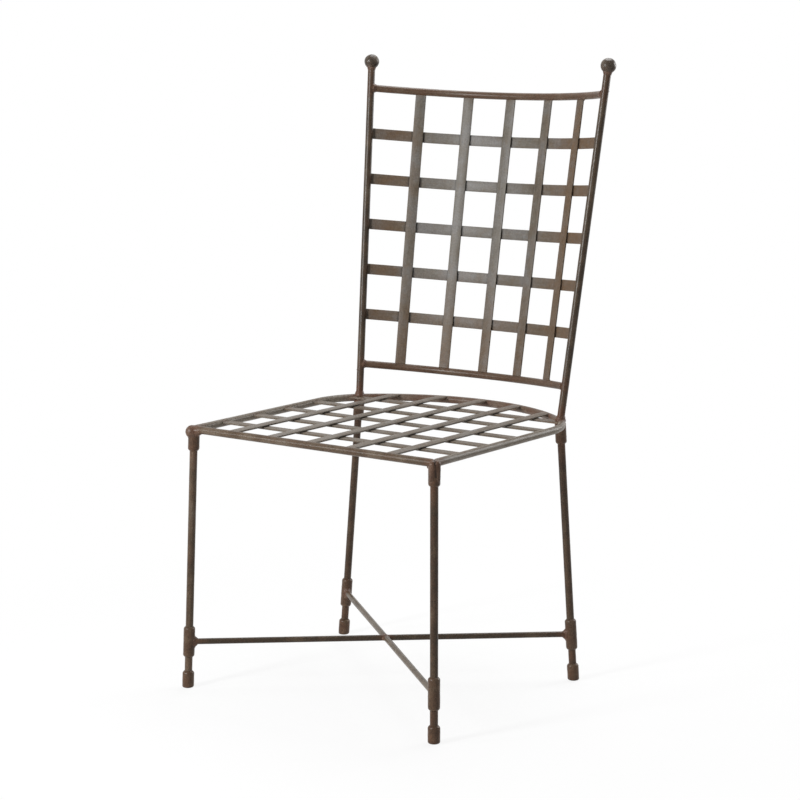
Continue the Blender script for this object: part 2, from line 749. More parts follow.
@dataclass(frozen=True)
class Finish:
    """A patina on steel under a satin clear coat: its tones, its stains and its shine."""

    name: str
    slot: str
    pale: Colour
    middle: Colour
    dark: Colour
    rust: Colour
    rust_share: float
    patch: float = 0.035
    grain: float = 0.0022
    streak: float = 0.35
    roughness: tuple[float, float] = (0.21, 0.36)
    shine: float = 0.2
    relief: float = 0.00012

    speck_range: ClassVar[Span] = (0.58, 0.66, 0.0, 0.55)
    dull_range: ClassVar[Span] = (0.42, 0.33, 0.0, 0.35)
    shade_range: ClassVar[Span] = (0.32, 0.68, 0.66, 1.3)
    stain_range: ClassVar[Span] = (0.22, 0.95, 0.0, 0.92)
    pit_range: ClassVar[Span] = (0.0, 0.35, 0.0, 1.0)
    grain_limits: ClassVar[tuple[float, float]] = (0.3, 0.7)
    cold_specks: ClassVar[float] = 0.35
    soot_strength: ClassVar[float] = 0.8
    rust_roughness: ClassVar[float] = 0.08
    bump_strength: ClassVar[float] = 0.8
    raggedness: ClassVar[float] = 0.9
    blotch_limit: ClassVar[float] = 0.62
    blotch_full: ClassVar[float] = 0.78
    blotch_gain: ClassVar[float] = 0.30
    grain_relief: ClassVar[float] = 0.7
    pit_relief: ClassVar[float] = 0.3
    freckle_spacing: ClassVar[float] = 0.0042
    blotch_spacing: ClassVar[float] = 0.011
    streak_spacing: ClassVar[float] = 0.0035
    streak_shrink: ClassVar[float] = 0.05
    pit_scale: ClassVar[float] = 420.0
    dark_level: ClassVar[float] = 0.34
    middle_level: ClassVar[float] = 0.5
    pale_level: ClassVar[float] = 0.68

    def material(self) -> bpy.types.Material:
        """Build the finish as a material that reads object coordinates and the pieces' own attributes."""
        made = bpy.data.materials.new(self.name)
        sheet = NodeSheet.of(made)
        place = sheet.object_place()

        heat = sheet.attribute("weld_heat")
        stain = self.stain(sheet, place, heat)
        freckles = sheet.noise(place, self.freckle_spacing, 3.0, 0.6)
        speck = sheet.ranged(freckles, *self.speck_range)
        dull = sheet.ranged(freckles, *self.dull_range)
        colour = sheet.mixed(dull, self.tones(sheet, place), self.dark)
        speck = sheet.maths("MULTIPLY", speck, sheet.maths("ADD", heat, self.cold_specks))
        colour = sheet.mixed(sheet.maths("MAXIMUM", stain, speck), colour, self.rust)
        grain = sheet.noise(place, self.grain, 5.0, 0.7)
        soot = sheet.maths("MULTIPLY", sheet.attribute("seam_soot"), self.soot_strength)
        shade = sheet.ranged(grain, *self.shade_range)
        shade = sheet.maths("MULTIPLY", shade, sheet.maths("SUBTRACT", 1.0, soot))
        colour = sheet.scaled(colour, shade)

        rough = sheet.ranged(grain, *self.grain_limits, *self.roughness)
        rough = sheet.maths("ADD", rough, sheet.maths("MULTIPLY", stain, self.rust_roughness))
        height = self.heights(sheet, place, grain)
        wires = {"Height": height, "Distance": self.relief, "Strength": self.bump_strength}
        bump = sheet.add("ShaderNodeBump", wires).outputs[0]
        wires = {"Base Color": colour, "Roughness": rough, "Normal": bump, "Specular IOR Level": self.shine}
        shader = sheet.add("ShaderNodeBsdfPrincipled", wires)
        sheet.end("ShaderNodeOutputMaterial", shader.outputs[0])
        return made

    def tones(self, sheet: NodeSheet, place: Socket) -> Socket:
        """The patina's patches and, on bars and straps, streaks along their length."""
        patches = sheet.noise(place, self.patch, 3.0, 0.6)
        shrunk = sheet.maths("MULTIPLY", sheet.attribute("along"), self.streak_shrink)
        lengthwise = sheet.add("ShaderNodeCombineXYZ", {"Z": shrunk}).outputs[0]
        wires = {0: sheet.attribute("section", "Vector"), 1: lengthwise}
        streak_place = sheet.add("ShaderNodeVectorMath", wires, operation="ADD").outputs[0]
        streaks = sheet.noise(streak_place, self.streak_spacing, 2.0, 0.5)
        streaks = sheet.maths("MULTIPLY", streaks, self.streak)
        patches = sheet.maths("MULTIPLY", patches, 1.0 - self.streak)
        level = sheet.maths("ADD", sheet.maths("ADD", streaks, patches), sheet.attribute("tone"))
        ramp = sheet.add("ShaderNodeValToRGB", {"Fac": level})
        stops = ramp.color_ramp.elements
        stops[0].position, stops[0].color = self.dark_level, (*self.dark, 1.0)
        stops[1].position, stops[1].color = self.pale_level, (*self.pale, 1.0)
        stops.new(self.middle_level).color = (*self.middle, 1.0)
        return ramp.outputs[0]

    def stain(self, sheet: NodeSheet, place: Socket, heat: Socket) -> Socket:
        """How rusty a point is, from 0 to 1: some anywhere, more near welds."""
        blotches = sheet.noise(place, self.blotch_spacing, 5.0, 0.62)
        limit = self.blotch_limit - self.blotch_gain * self.rust_share
        anywhere = sheet.ranged(blotches, limit, self.blotch_full, 0.0, self.rust_share)
        ragged = sheet.maths("MULTIPLY", sheet.maths("SUBTRACT", blotches, 0.5), self.raggedness)
        welds = sheet.ranged(sheet.maths("ADD", heat, ragged), *self.stain_range)
        return sheet.maths("MAXIMUM", anywhere, welds)

    def heights(self, sheet: NodeSheet, place: Socket, grain: Socket) -> Socket:
        """Pits and grain of the surface, as a height from 0 to 1."""
        wires = {"Vector": place, "Scale": self.pit_scale}
        cells = sheet.add("ShaderNodeTexVoronoi", wires).outputs["Distance"]
        pits = sheet.maths("MULTIPLY", sheet.ranged(cells, *self.pit_range), self.pit_relief)
        return sheet.maths("ADD", sheet.maths("MULTIPLY", grain, self.grain_relief), pits)


class Stock(Enum):
    """What the pieces are made of, with the record's name for each finish."""

    ROD = Finish(
        "rod_steel", "rod_steel", pale=(0.122, 0.097, 0.070), middle=(0.076, 0.054, 0.034),
        dark=(0.039, 0.027, 0.017), rust=(0.088, 0.041, 0.023), rust_share=0.38,
    )
    HOOP = Finish(
        "rod_steel_pale", "rod_steel", pale=(0.180, 0.157, 0.130), middle=(0.146, 0.119, 0.089),
        dark=(0.075, 0.057, 0.039), rust=(0.092, 0.047, 0.029), rust_share=0.3, roughness=(0.26, 0.42),
    )
    STRAP = Finish(
        "strap_steel", "strap_steel", pale=(0.147, 0.139, 0.131), middle=(0.115, 0.101, 0.081),
        dark=(0.067, 0.053, 0.038), rust=(0.106, 0.063, 0.033), rust_share=0.34, patch=0.045,
        streak=0.32, roughness=(0.32, 0.48),
    )
    TUBE = Finish(
        "tube_steel", "tube_steel", pale=(0.099, 0.073, 0.047), middle=(0.067, 0.045, 0.028),
        dark=(0.037, 0.024, 0.015), rust=(0.093, 0.044, 0.024), rust_share=0.5, patch=0.02, streak=0.0,
    )
    BALL = Finish(
        "forged_ball", "forged_ball", pale=(0.098, 0.077, 0.058), middle=(0.058, 0.043, 0.031),
        dark=(0.026, 0.019, 0.013), rust=(0.070, 0.041, 0.027), rust_share=0.3, patch=0.012, streak=0.0,
        grain=0.0016, relief=0.00025,
    )
    WELD = Finish(
        "weld_rust", "weld_rust", pale=(0.132, 0.100, 0.074), middle=(0.086, 0.057, 0.039),
        dark=(0.044, 0.028, 0.019), rust=(0.102, 0.050, 0.031), rust_share=0.5, patch=0.009, streak=0.0,
        grain=0.0012, relief=0.0002,
    )


# The workshop: makes pieces of stock, and knows where they are welded.

@dataclass(frozen=True)
class HotSpot:
    """A place that was welded, how far its rust and scale reach, and the only stock that shows them."""

    place: Vector
    reach: float
    strength: float
    only: Stock | None = None


class Workshop:
    seam_width = 0.0018
    seed_step = 7
    dent_scale = 130
    coarse_scale = 420
    fine_scale = 900
    soften_factor = 0.8

    def __init__(self) -> None:
        self.materials = {stock: stock.value.material() for stock in Stock}
        self.bars = BarTree()
        self.straps = StrapTree()
        self.beads = BeadTree()
        self.spatter = SpatterTree()
        self.hot_spots: list[HotSpot] = []
        self.pieces: list[tuple[Item, Stock, float, float]] = []
        self.seams: list[tuple[Vector, Vector]] = []
        self.count = 0

    def next_seed(self) -> int:
        """A new fixed seed for the next piece."""
        self.count += self.seed_step
        return self.count

    def heat(self, place: Vector, reach: float, strength: float, only: Stock | None = None) -> None:
        """Note a place that was welded."""
        self.hot_spots.append(HotSpot(place, reach, strength, only))

    def bar(
        self, name: str, line: Sequence[Vector], radius: float, step: float = 0.004,
        frame: Matrix | None = None, stock: Stock = Stock.ROD,
    ) -> Item:
        """A round bar along a line."""
        item = self.bars.grow(
            name, [line], self.materials[stock], self.next_seed(),
            Radius=radius, Step=step, Unevenness=0.00012, Sides=28,
        )
        return self.moved(item, frame)

    def strap(self, name: str, line: Sequence[Vector], across: Vector, frame: Matrix | None = None) -> Item:
        """A flat strap along a line, its width lying across."""
        item = self.straps.grow(
            name, [line], self.materials[Stock.STRAP], self.next_seed(),
            Width=PLAN.strap_width, Thickness=PLAN.strap_thickness, Edge_Round=0.0008, Step=0.0025,
            Waviness=0.00012, Across=across,
        )
        return self.moved(item, frame)

    def tacks(self, name: str, lines: Sequence[Sequence[Vector]], radius: float) -> None:
        """Short weld beads along lines, grown and booked."""
        item = self.beads.grow(
            name, lines, self.materials[Stock.WELD], self.next_seed(),
            Radius=radius, Spacing=0.0013, Smallest=0.7,
        )
        self.book(item, Stock.WELD)

    def tube(self, name: str, profile: Rings, frame: Matrix, dent: float) -> Item:
        """A turned tube in a frame, its surface slightly dented."""
        item = shell_object(name, turned_shell(profile, 40))
        self.dress(item, Stock.TUBE)
        seed = Vector((self.next_seed(), 0, 0))
        corners = corners_of(item)
        radii = np.linalg.norm(corners[:, :2], axis=1)
        push = np.array([noise.noise(Vector(c) * self.dent_scale + seed) for c in corners]) * dent
        corners[:, :2] *= (1 + np.where(radii > 1e-6, push / np.maximum(radii, 1e-6), 0))[:, None]
        set_corners(item, corners)
        return self.moved(item, frame)

    def melted(
        self, name: str, shells: Sequence[Shell], softening: int,
        voxel: float = 0.0006, ripple: float = 0.00035,
    ) -> Item:
        """Weld metal: shells melted into one lump, softened so that it fills the corners.

        Args:
            name: The piece's name.
            shells: Bars, cones and lumps to melt together.
            softening: How often the surface is smoothed, which widens the fillets.
            voxel: Fineness of the result.
            ripple: Depth of the ripples on its surface.

        Returns:
            The weld, in the weld finish.
        """
        item = shell_object(name, joined(shells))
        remesh = item.modifiers.new("melt", "REMESH")
        remesh.mode = "VOXEL"
        remesh.voxel_size = voxel
        remesh.use_smooth_shade = True
        soften = item.modifiers.new("soften", "SMOOTH")
        soften.factor = self.soften_factor
        soften.iterations = softening
        settle(item)
        self.dress(item, Stock.WELD)
        seed = Vector((self.next_seed(), 0, 0))
        normals = corners_of(item, "normal")
        corners = corners_of(item)
        coarse = np.array([noise.noise(Vector(c) * self.coarse_scale + seed) for c in corners])
        fine = np.array([noise.noise(Vector(c) * self.fine_scale + seed) for c in corners])
        set_corners(item, corners + normals * ((coarse + 0.5 * fine) * ripple)[:, None])
        return item

    def weld(self, name: str, shells: Sequence[Shell], *nodes: str, **melting: float) -> None:
        """Weld metal, melted and booked."""
        self.book(self.melted(name, shells, **melting), Stock.WELD, *nodes)

    def dress(self, item: Item, stock: Stock) -> None:
        """Give a piece its finish."""
        item.data.materials.clear()
        item.data.materials.append(self.materials[stock])

    @staticmethod
    def moved(item: Item, frame: Matrix | None) -> Item:
        """Move a piece's mesh into a frame, and leave its object at the origin."""
        if frame is not None:
            item.data.transform(frame)
            item.data.update()
        return item

    def book(self, item: Item, stock: Stock, *nodes: str, warmth: float = 0.0, tone: float = 0.0) -> None:
        """Args:
            item: The finished piece.
            stock: Its finish.
            nodes: The CAD nodes that it stands for.
            warmth: How brown it has gone all over, from 0 to 1.
            tone: How much paler its patina is than usual, or darker below 0.
        """
        self.pieces.append((item, stock, warmth, tone))
        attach(item, "root")
        if nodes:
            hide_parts(*nodes)
        LOG.info("%s: %d faces", item.name, len(item.data.polygons))

    def stain_all(self) -> None:
        """Mark on every piece how near its points are to a weld, and to a seam that holds dirt."""
        for item, stock, warmth, tone in self.pieces:
            corners = corners_of(item)
            heat = np.full(len(corners), warmth)
            for spot in self.hot_spots:
                if spot.only not in (None, stock):
                    continue
                distance = np.linalg.norm(corners - np.array(spot.place), axis=1)
                heat = np.maximum(heat, spot.strength * np.exp(-((distance / spot.reach) ** 2)))
            soot = np.zeros(len(corners))
            for start, end in self.seams:
                distance = distance_to(corners, start, end)
                soot = np.maximum(soot, np.exp(-((distance / self.seam_width) ** 2)))
            tones = np.full(len(corners), tone)
            for name, values in (("weld_heat", heat), ("seam_soot", soot), ("tone", tones)):
                layer = item.data.attributes.new(name, "FLOAT", "POINT")
                layer.data.foreach_set("value", values.astype(np.float32))


# Sub-assemblies.

@dataclass
class SeatRing:
    """The front rail and the hoop, mitred over the front legs, with weld metal on the corners."""

    shop: Workshop
    step: float = 0.002
    mitre_gap: float = 0.00015
    mitre_reach: float = 0.016
    groove_width: float = 0.0024
    groove_depth: float = 0.0014
    ripple: float = 0.00018
    core_low: float = 0.014
    core_high: float = 0.0055
    core_radius: float = 0.0098
    root_overlap: float = 0.001
    root_reach: float = 0.018
    fillet_in: float = 0.0108
    fillet_drop: float = 0.0074
    fillet_radius: float = 0.003
    bulb_out: float = 0.0031
    bulb_drop: float = 0.0043
    bulb_radii: tuple[float, float, float] = (0.0118, 0.0118, 0.0115)
    bulb_root_drop: float = 0.0036
    bulb_root_radii: tuple[float, float] = (0.0104, 0.0062)
    ridge_out: float = 0.0050
    ridge_apart: float = 0.0047
    ridge_top_share: float = 0.72
    ridge_top_drop: float = 0.0012
    ridge_top_radius: float = 0.0064
    ridge_start_radius: float = 0.0063
    ridge_steps: tuple[tuple[float, float, float], ...] = ((0.0270, 0.85, 0.0051), (0.0350, 0.5, 0.0040))
    crevice: tuple[tuple[float, float], ...] = (
        (-0.006, 0.0050), (0.0, 0.0066), (0.0055, 0.0054), (0.0100, 0.0010), (0.0112, -0.006),
        (0.0106, -0.020), (0.0099, -0.033),
    )

    def build(self) -> None:
        """Make the rail, the hoop and the corner welds."""
        plan, shop = PLAN, self.shop
        left, right = (Vector((side * plan.half_width, plan.front_y, plan.ring_height)) for side in (-1, 1))
        rail_line = straight(left, right, 120)
        rail = shop.bar("front_seat_rail_bar", rail_line, plan.rod_radius, self.step)
        hoop = shop.bar("seat_hoop_bar", plan.hoop_line(), plan.rod_radius, self.step, stock=Stock.HOOP)
        self.mitre(rail, hoop, left, -1)
        self.mitre(rail, hoop, right, 1)
        for x in np.linspace(-0.18, 0.18, 7):
            place = Vector((x, plan.hoop_back_y(x), plan.ring_height))
            shop.heat(place, reach=0.06, strength=0.9, only=Stock.HOOP)
        shop.book(rail, Stock.ROD, "front_seat_rail", warmth=0.36, tone=0.05)
        shop.book(hoop, Stock.HOOP, "seat_hoop", warmth=0.06, tone=0.06)
        self.weld_corners(left, right)

    def mitre(self, rail: Item, hoop: Item, corner: Vector, side: int) -> None:
        """Cut the ends of both bars at a corner to the mitre, and round them off along it."""
        reach, gap = self.mitre_reach, self.mitre_gap
        slide_ends(rail, corner, Vector((side, 0, 0)), reach, lambda offset: -offset[:, 1] - gap)
        slide_ends(hoop, corner, Vector((0, -1, 0)), reach, lambda offset: side * offset[:, 0] - gap)
        for item in (rail, hoop):
            self.groove(item, corner, side)

    def groove(self, item: Item, corner: Vector, side: int) -> None:
        """Round off a bar's end where it meets the other at the mitre."""
        points = corners_of(item)
        offset = points - np.array(corner)
        distance = np.abs(side * offset[:, 0] + offset[:, 1]) / math.sqrt(2)
        near = (distance < self.groove_width) & (np.linalg.norm(offset, axis=1) < 0.02)
        pull = self.groove_depth * (1 - distance / self.groove_width) ** 2
        points[near] -= directions(offset)[near] * pull[near][:, None]
        set_corners(item, points)

    def weld_corners(self, left: Vector, right: Vector) -> None:
        """Weld metal on both corners: a round bulb on the left, two ridges with a crevice on the right."""
        bulb = self.corner_core(left, -1) + self.bulb(left)
        self.shop.weld("ring_corner_weld_left", bulb, "ring_corner_welds", softening=34, ripple=self.ripple)
        ridges = self.corner_core(right, 1) + self.ridges(right)
        item = self.shop.melted(
            "ring_corner_weld_right", ridges, softening=24, voxel=0.0005, ripple=self.ripple
        )
        self.crease(item, right)
        self.shop.book(item, Stock.WELD)

    def corner_core(self, corner: Vector, side: int) -> list[Shell]:
        """Weld metal round the bars' ends and in the inner corners between the bars and the collar."""
        leg = PLAN.leg("front", "left" if side < 0 else "right")
        low, high = leg.at(corner.z - self.core_low), leg.at(corner.z - self.core_high)
        shells = [bar_shell(low, high, self.core_radius)]
        for inwards in (Vector((-side, 0, 0)), Vector((0, 1, 0))):
            start, end = corner - inwards * self.root_overlap, corner + inwards * self.root_reach
            fillet = corner + inwards * self.fillet_in - upward(self.fillet_drop)
            shells.append(bar_shell(start, end, PLAN.rod_radius - SKIN))
            shells.append(lump_shell(fillet, (self.fillet_radius,) * 3))
        self.shop.heat(corner, reach=0.034, strength=0.75)
        return shells

    def bulb(self, corner: Vector) -> list[Shell]:
        """The round bulb on the left corner, which stands out beyond the collar."""
        outward = Vector((-1, -1, 0)).normalized()
        middle = corner + outward * self.bulb_out - upward(self.bulb_drop)
        shells = [lump_shell(middle, self.bulb_radii)]
        start = corner - upward(self.bulb_root_drop)
        for inwards in (Vector((1, 0, 0)), Vector((0, 1, 0))):
            shells.append(bar_shell(start, corner + inwards * self.root_reach, *self.bulb_root_radii))
        return shells

    def ridges(self, corner: Vector) -> list[Shell]:
        """Two ridges on the right corner, which run from the bars down over the collar."""
        outward, across = Vector((1, -1, 0)).normalized(), Vector((1, 1, 0)).normalized()
        leg = PLAN.leg("front", "right")
        shells = []
        for way in (-1, 1):
            offset = outward * self.ridge_out + across * way * self.ridge_apart
            start = corner + offset * self.ridge_top_share - upward(self.ridge_top_drop)
            start_radius = self.ridge_start_radius
            shells.append(lump_shell(start, (self.ridge_top_radius,) * 3))
            for drop, share, radius in self.ridge_steps:
                end = leg.at(corner.z - drop) + offset * share
                shells.append(bar_shell(start, end, start_radius, radius))
                start, start_radius = end, radius
        return shells

    def crease(self, item: Item, corner: Vector) -> None:
        """Sink a crevice into the right corner's weld metal, from the bars' top down over the collar."""
        outward = Vector((1, -1, 0)).normalized()
        path = [corner + outward * out + upward(height) for out, height in self.crevice]
        points = corners_of(item)
        distance = np.full(len(points), 1.0)
        for start, end in zip(path, path[1:]):
            distance = np.minimum(distance, distance_to(points, start, end))
            if start.z > corner.z - 0.012:
                self.shop.seams.append((start, end))
        pull = self.groove_depth * np.clip(1 - distance / self.groove_width, 0, 1) ** 1.5
        inward = np.array(corner) - points
        inward[:, 2] = np.minimum(inward[:, 2], 0)
        set_corners(item, points + directions(inward) * pull[:, None])


@dataclass
class LegSet:
    """The four legs, each with a collar at the top, a sleeve at the stretcher and a foot ferrule."""

    shop: Workshop
    collar_radius: float = 0.0096
    collar_drop: float = 0.0365
    collar_gap: float = 0.0012
    sleeve_length: float = 0.053
    ferrule_radius: float = 0.010
    ferrule_height: float = 0.0285
    ferrule_edge: float = 0.0028
    taper: float = 0.0026
    ease: float = 0.0015
    tip: float = 0.0002
    bore_overlap: float = 0.0003
    easing: tuple[tuple[float, float], ...] = ((0.0012, -0.0012), (0.0006, -0.0004), (0.0002, 0.0005))
    wall_step: float = 0.003
    weld_warmth: float = 0.5
    end_gap: float = 0.005
    rim_drop: float = 0.0008
    rim_inset: float = 0.0003
    mouth_radius: float = 0.0055
    collar_dent: float = 0.00015
    sleeve_dent: float = 0.00025
    ferrule_dent: float = 0.0002
    base_shares: tuple[float, float] = (0.3, 0.6)
    edge_steps: int = 6
    level_height: float = 0.012
    foot_stains: tuple[tuple[float, float, float], ...] = ((0.012, 0.03, 0.75), (0.042, 0.02, 0.75))
    collar_stain: tuple[float, float, float] = (0.042, 0.04, 0.7)

    def build(self) -> None:
        """Make every leg and its tubes."""
        for leg in PLAN.legs():
            corner = leg.name.replace("_leg", "")
            heights = np.linspace(self.end_gap, PLAN.ring_height - self.end_gap, 90)
            line = [leg.at(height) for height in heights]
            bar = self.shop.bar(f"{leg.name}_bar", line, PLAN.rod_radius)
            tone = 0.02 if leg.name == "front_leg_left" else -0.13
            self.shop.book(bar, Stock.ROD, leg.name, warmth=0.36, tone=tone)
            self.collar(leg, corner)
            self.sleeve(leg, corner)
            self.ferrule(leg, corner)

    def tapered(self, radius: float, height: float, up: int) -> Rings:
        """Rings of a tapered tube end with eased edges, from the rod outwards for up = 1."""
        foot, tip = radius - self.taper, self.tip
        neck = PLAN.rod_radius - self.bore_overlap
        rings = [(neck, height - up * tip), (foot - tip, height), (foot + tip, height + up * tip)]
        rings += [(radius - inset, height + up * (self.taper + rise)) for inset, rise in self.easing]
        rings.append((radius, height + up * (self.taper + self.ease)))
        return rings if up > 0 else rings[::-1]

    def wall(self, radius: float, low: float, high: float) -> Rings:
        """Rings of a straight tube wall between two heights."""
        count = max(2, round((high - low) / self.wall_step))
        return [(radius, height) for height in np.linspace(low, high, count + 1)[1:-1]]

    def collar(self, leg: Leg, corner: str) -> None:
        """The tube at the top of a leg, its upper edge cut to fit under the ring."""
        radius = self.collar_radius
        length = (self.collar_drop - self.collar_gap) * leg.slope
        profile = self.tapered(radius, 0.0, 1)
        profile += self.wall(radius, self.taper + self.ease, length - 0.001)
        rim = length - self.rim_drop
        profile += [(radius, rim), (radius - self.rim_inset, length), (self.mouth_radius, length)]
        frame = leg.frame(PLAN.ring_height - self.collar_drop)
        item = self.shop.tube(f"{corner}_collar_tube", profile, frame, self.collar_dent)
        self.cope(item, leg)
        self.shop.book(item, Stock.TUBE, f"{corner}_collar", warmth=self.weld_warmth)

    @staticmethod
    def cope(item: Item, leg: Leg) -> None:
        """Lower the collar's upper edge where the ring's bar lies over it."""
        points = corners_of(item)
        offset = points - np.array(leg.top)
        if "front" in leg.name:
            across = np.minimum(np.abs(offset[:, 0]), np.abs(offset[:, 1]))
        else:
            past = leg.top.y - PLAN.front_y - PLAN.side_length
            outwards = Vector((leg.top.x - leg.side * PLAN.corner_x, past)).normalized()
            across = np.abs(offset[:, :2] @ np.array(outwards))
        roof = -np.sqrt(np.maximum((PLAN.rod_radius - 0.0006) ** 2 - across ** 2, 0)) - 0.0004
        points[:, 2] = np.minimum(points[:, 2], leg.top.z + roof)
        set_corners(item, points)

    def sleeve(self, leg: Leg, corner: str) -> None:
        """The tube round a leg where a stretcher meets it, tapered at both ends."""
        radius, length = PLAN.sleeve_radius, self.sleeve_length
        profile = self.tapered(radius, 0.0, 1)
        profile += self.wall(radius, self.taper + self.ease, length - self.taper - self.ease)
        profile += self.tapered(radius, length, -1)
        frame = leg.frame(PLAN.stretcher_height - length / 2 / leg.slope)
        item = self.shop.tube(f"{corner}_sleeve_tube", profile, frame, self.sleeve_dent)
        self.shop.book(item, Stock.TUBE, f"{corner}_sleeve", warmth=self.weld_warmth)

    def ferrule(self, leg: Leg, corner: str) -> None:
        """The foot: tapered at its top, ground level underneath, with a rounded edge."""
        radius, edge = self.ferrule_radius, self.ferrule_edge
        profile = [(radius * share, 0.0) for share in self.base_shares]
        for step in range(self.edge_steps + 1):
            angle = step * math.pi / (2 * self.edge_steps)
            profile.append((radius - edge + edge * math.sin(angle), edge - edge * math.cos(angle)))
        profile += self.wall(radius, edge, self.ferrule_height - self.taper - self.ease)
        profile += self.tapered(radius, self.ferrule_height, -1)
        item = self.shop.tube(f"{corner}_foot_ferrule", profile, leg.frame(), self.ferrule_dent)
        points = corners_of(item)
        axis = (leg.top - leg.foot).normalized()
        level = np.clip(1 - points[:, 2] / self.level_height, 0, 1)
        offset = points[:, :2] - np.array(leg.foot.xy)
        points[:, 2] += level * (offset @ np.array(axis.xy)) / axis.z
        points[:, 2] = np.maximum(points[:, 2], 0.0)
        set_corners(item, points)
        self.shop.book(item, Stock.TUBE, f"{corner}_ferrule", warmth=self.weld_warmth)
        for height, reach, strength in self.foot_stains:
            self.shop.heat(leg.at(height), reach, strength)
        drop, reach, strength = self.collar_stain
        self.shop.heat(leg.at(PLAN.ring_height - drop), reach, strength)


@dataclass
class Stretchers:
    """The crossed stretchers under the seat and the weld metal at their ends and crossing."""

    shop: Workshop
    saddle_half: float = 0.0145
    saddle_skin: float = 0.0006
    throat: float = 0.013
    flare_start: float = -0.0022
    flare_end: float = 0.0092
    flare_wide: float = 0.0148
    flare_narrow: float = 0.0046
    flare_flatness: float = 0.52
    crossing_arm: float = 0.015
    crossing_radii: tuple[float, float, float] = (0.0088, 0.0084, 0.0056)

    def build(self) -> None:
        """Make the whole bar, the two halves and their welds."""
        crossing = PLAN.crossing()
        joints = {leg.name: leg.at(PLAN.stretcher_height) for leg in PLAN.legs()}
        runs = {
            "stretcher_long": (joints["front_leg_left"], joints["rear_leg_right"], -0.16),
            "stretcher_half_front": (joints["front_leg_right"], crossing, 0.06),
            "stretcher_half_rear": (joints["rear_leg_left"], crossing, 0.06),
        }
        for name, (start, end, tone) in runs.items():
            bar = self.shop.bar(f"{name}_bar", straight(start, end, 100), PLAN.stretcher_radius)
            self.shop.book(bar, Stock.ROD, name, tone=tone)
        self.weld_ends(joints, crossing)
        self.weld_crossing(joints, crossing)

    def weld_ends(self, joints: dict[str, Vector], crossing: Vector) -> None:
        """Flared weld metal where each stretcher meets its sleeve."""
        shells = []
        for leg in PLAN.legs():
            joint = joints[leg.name]
            inwards = (crossing - joint).normalized()
            face = joint + inwards * PLAN.sleeve_radius
            low, high = leg.at(joint.z - self.saddle_half), leg.at(joint.z + self.saddle_half)
            start, end = face + inwards * self.flare_start, face + inwards * self.flare_end
            shells += [
                bar_shell(low, high, PLAN.sleeve_radius - self.saddle_skin),
                bar_shell(joint, face + inwards * self.throat, PLAN.stretcher_radius - SKIN),
                flare_shell(start, end, self.flare_wide, self.flare_narrow, self.flare_flatness),
            ]
            self.shop.heat(face, reach=0.020, strength=0.8)
        self.shop.weld("stretcher_end_weld_metal", shells, "stretcher_end_welds", softening=10)

    def weld_crossing(self, joints: dict[str, Vector], crossing: Vector) -> None:
        """Weld metal in the four corners of the crossing."""
        shells = []
        for joint in joints.values():
            outwards = (joint - crossing).normalized()
            end = crossing + outwards * self.crossing_arm
            shells.append(bar_shell(crossing, end, PLAN.stretcher_radius - SKIN))
        shells.append(lump_shell(crossing, self.crossing_radii))
        self.shop.weld("stretcher_crossing_weld_metal", shells, "stretcher_crossing_weld", softening=12)
        self.shop.heat(crossing, reach=0.016, strength=0.9)


